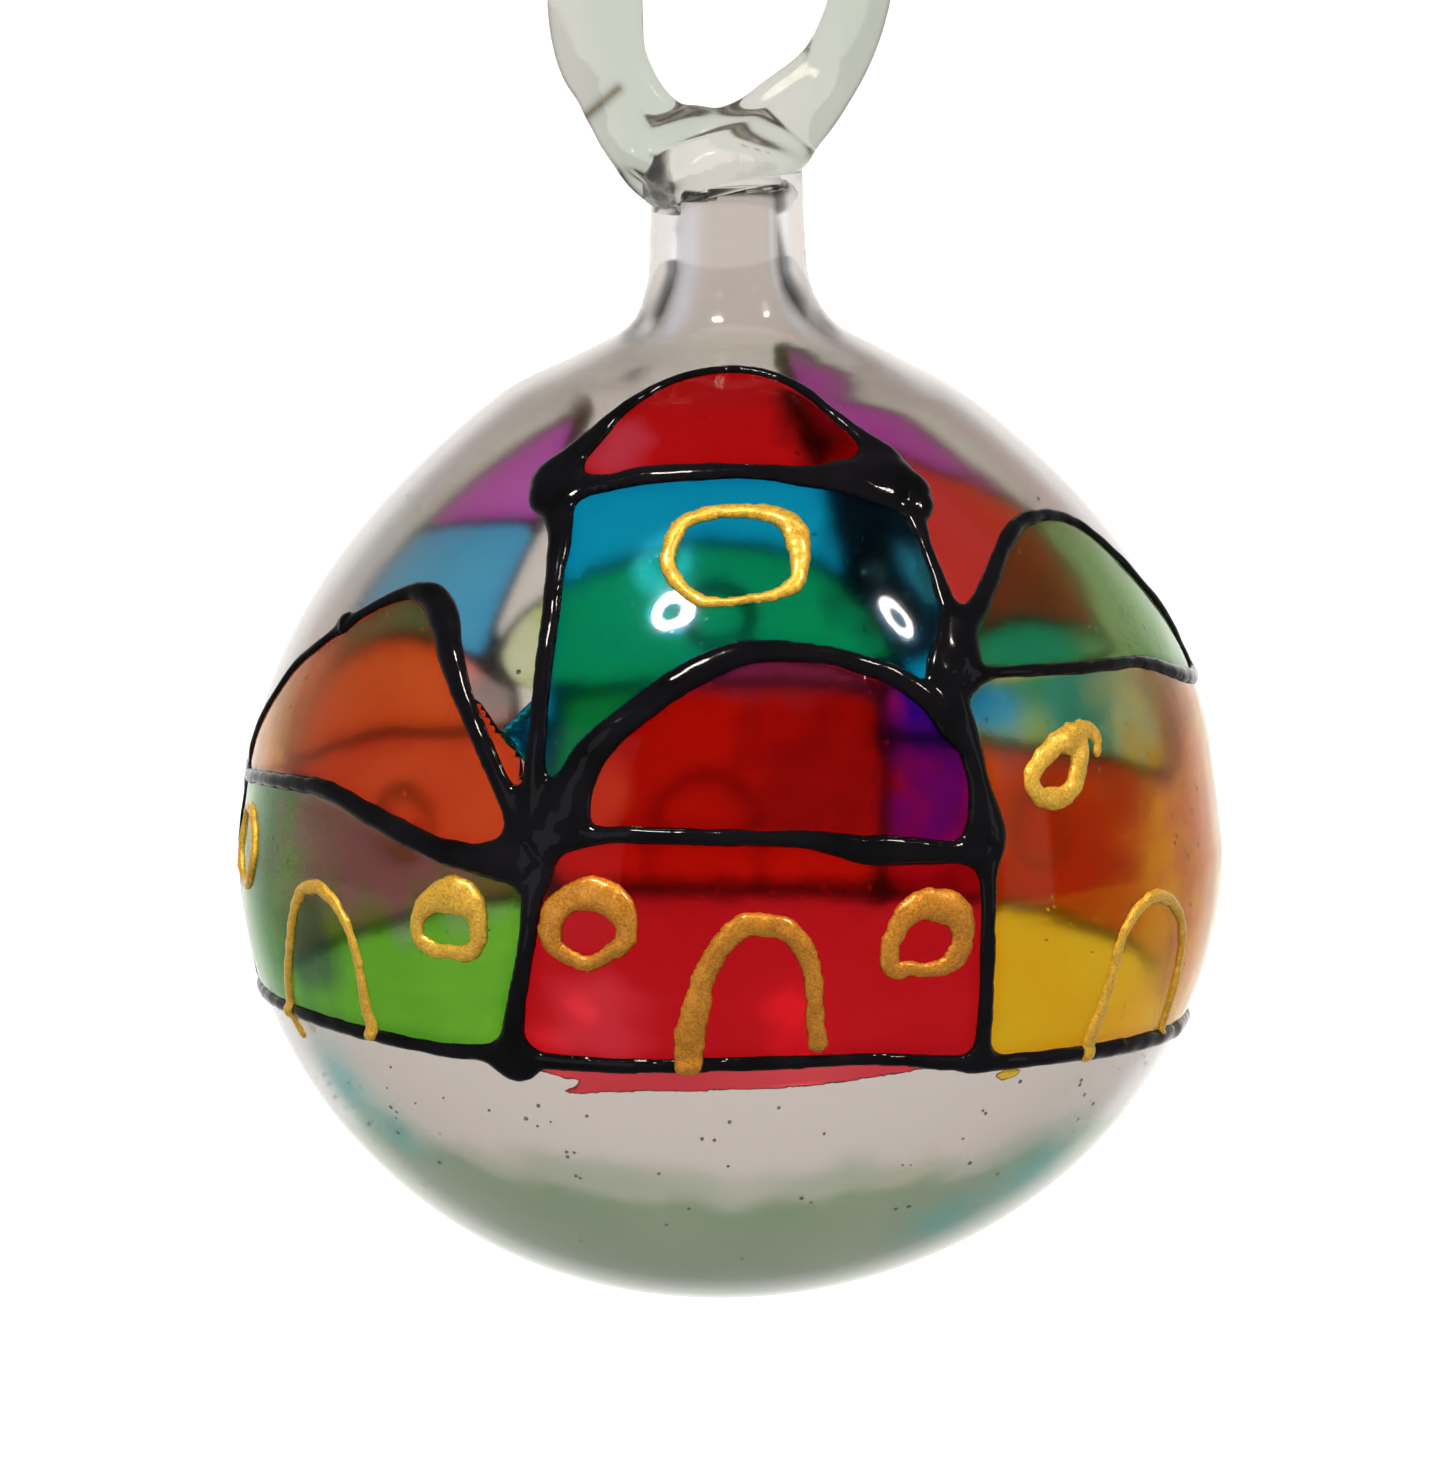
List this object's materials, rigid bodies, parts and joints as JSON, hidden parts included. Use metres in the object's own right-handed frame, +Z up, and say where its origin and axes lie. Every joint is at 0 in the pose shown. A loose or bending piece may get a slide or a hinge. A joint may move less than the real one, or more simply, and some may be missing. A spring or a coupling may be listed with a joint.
{
  "type": "souvenir christmas ornament",
  "caption": "Blown glass ball ornament with a fused glass hanging loop, painted with a stained-glass town of houses, domes and towers.",
  "frame": {"origin": "top of the hanging loop's hole, where a hook or ribbon bears", "axes": "+Z up along the neck; the painted front faces -Y; +X to the right as the front is looked at"},
  "size_m": [0.0721, 0.0724, 0.1049],
  "materials": {
    "clear_glass": "clear blown glass, faintly green",
    "black_contour_paint": "raised glossy contour paste",
    "gold_contour_paint": "raised glittery gold contour paste",
    "red_film": "glossy see-through glass paint",
    "blue_film": "glossy see-through glass paint",
    "violet_film": "glossy see-through glass paint",
    "crimson_film": "glossy see-through glass paint",
    "orange_film": "glossy see-through glass paint",
    "leaf_film": "glossy see-through glass paint",
    "green_film": "glossy see-through glass paint",
    "yellow_film": "glossy see-through glass paint",
    "lime_film": "glossy see-through glass paint",
    "amber_film": "glossy see-through glass paint",
    "rose_film": "glossy see-through glass paint",
    "purple_film": "glossy see-through glass paint",
    "sky_film": "glossy see-through glass paint",
    "turquoise_film": "glossy see-through glass paint"
  },
  "bodies": {
    "root": {"back_centre_dome_line": "black_contour_paint", "back_centre_dome_pane": "lime_film", "back_centre_door": "gold_contour_paint", "back_centre_eave_line": "black_contour_paint", "back_centre_left_wall_line": "black_contour_paint", "back_centre_right_wall_line": "black_contour_paint", "back_centre_wall_pane": "amber_film", "back_centre_window": "gold_contour_paint", "back_left_dome_line": "black_contour_paint", "back_left_dome_pane": "rose_film", "back_left_eave_line": "black_contour_paint", "back_left_tower_eave_line": "black_contour_paint", "back_left_tower_line": "black_contour_paint", "back_left_tower_roof_pane": "purple_film", "back_left_tower_wall_pane": "sky_film", "back_left_wall_pane": "crimson_film", "back_left_window": "gold_contour_paint", "back_right_dome_line": "black_contour_paint", "back_right_dome_pane": "turquoise_film", "back_right_eave_line": "black_contour_paint", "back_right_tower_eave_line": "black_contour_paint", "back_right_tower_line": "black_contour_paint", "back_right_tower_roof_pane": "purple_film", "back_right_tower_wall_pane": "red_film", "back_right_wall_pane": "rose_film", "back_right_window": "gold_contour_paint", "base_line": "black_contour_paint", "centre_dome_line": "black_contour_paint", "centre_dome_pane": "violet_film", "centre_door": "gold_contour_paint", "centre_eave_line": "black_contour_paint", "centre_left_wall_line": "black_contour_paint", "centre_left_window": "gold_contour_paint", "centre_right_wall_line": "black_contour_paint", "centre_right_window": "gold_contour_paint", "centre_wall_pane": "crimson_film", "glass_globe": "clear_glass", "hanging_loop": "clear_glass", "left_dome_line": "black_contour_paint", "left_dome_pane": "orange_film", "left_door": "gold_contour_paint", "left_eave_line": "black_contour_paint", "left_end_wall_line": "black_contour_paint", "left_end_window": "gold_contour_paint", "left_wall_pane": "leaf_film", "left_window": "gold_contour_paint", "right_dome_line": "black_contour_paint", "right_dome_pane": "green_film", "right_door": "gold_contour_paint", "right_eave_line": "black_contour_paint", "right_end_wall_line": "black_contour_paint", "right_wall_pane": "yellow_film", "right_window": "gold_contour_paint", "tower_eave_line": "black_contour_paint", "tower_roof_line": "black_contour_paint", "tower_roof_pane": "red_film", "tower_wall_pane": "blue_film", "tower_window": "gold_contour_paint"}
  },
  "joints": []
}
